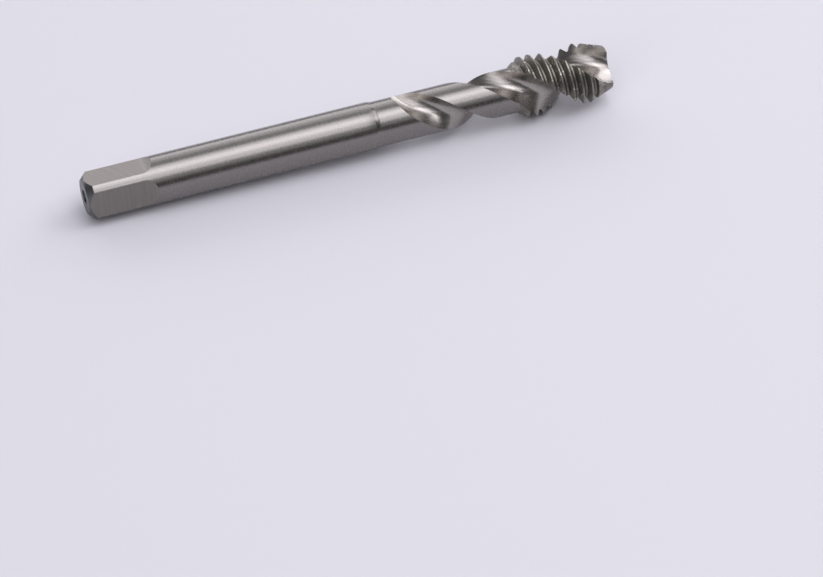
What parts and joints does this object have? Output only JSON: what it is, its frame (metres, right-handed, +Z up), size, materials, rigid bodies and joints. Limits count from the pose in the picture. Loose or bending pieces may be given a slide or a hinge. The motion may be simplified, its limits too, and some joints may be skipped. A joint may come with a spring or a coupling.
{
  "type": "thread tap",
  "caption": "Slim spiral-fluted machine tap: square drive end, round shank, reduced neck and a short threaded cutting head with a tapered lead.",
  "frame": {"origin": "on the tap's axis, in the end face of the drive square", "axes": "+X along the axis from the drive square to the cutting tip, +Y and +Z square to the flats of the drive square, +Z up as the tap lies"},
  "size_m": [0.07, 0.008, 0.008],
  "materials": {
    "ground_steel": "bright ground tool steel, uncoated"
  },
  "bodies": {
    "root": {"thread_tap": "ground_steel"}
  },
  "joints": []
}
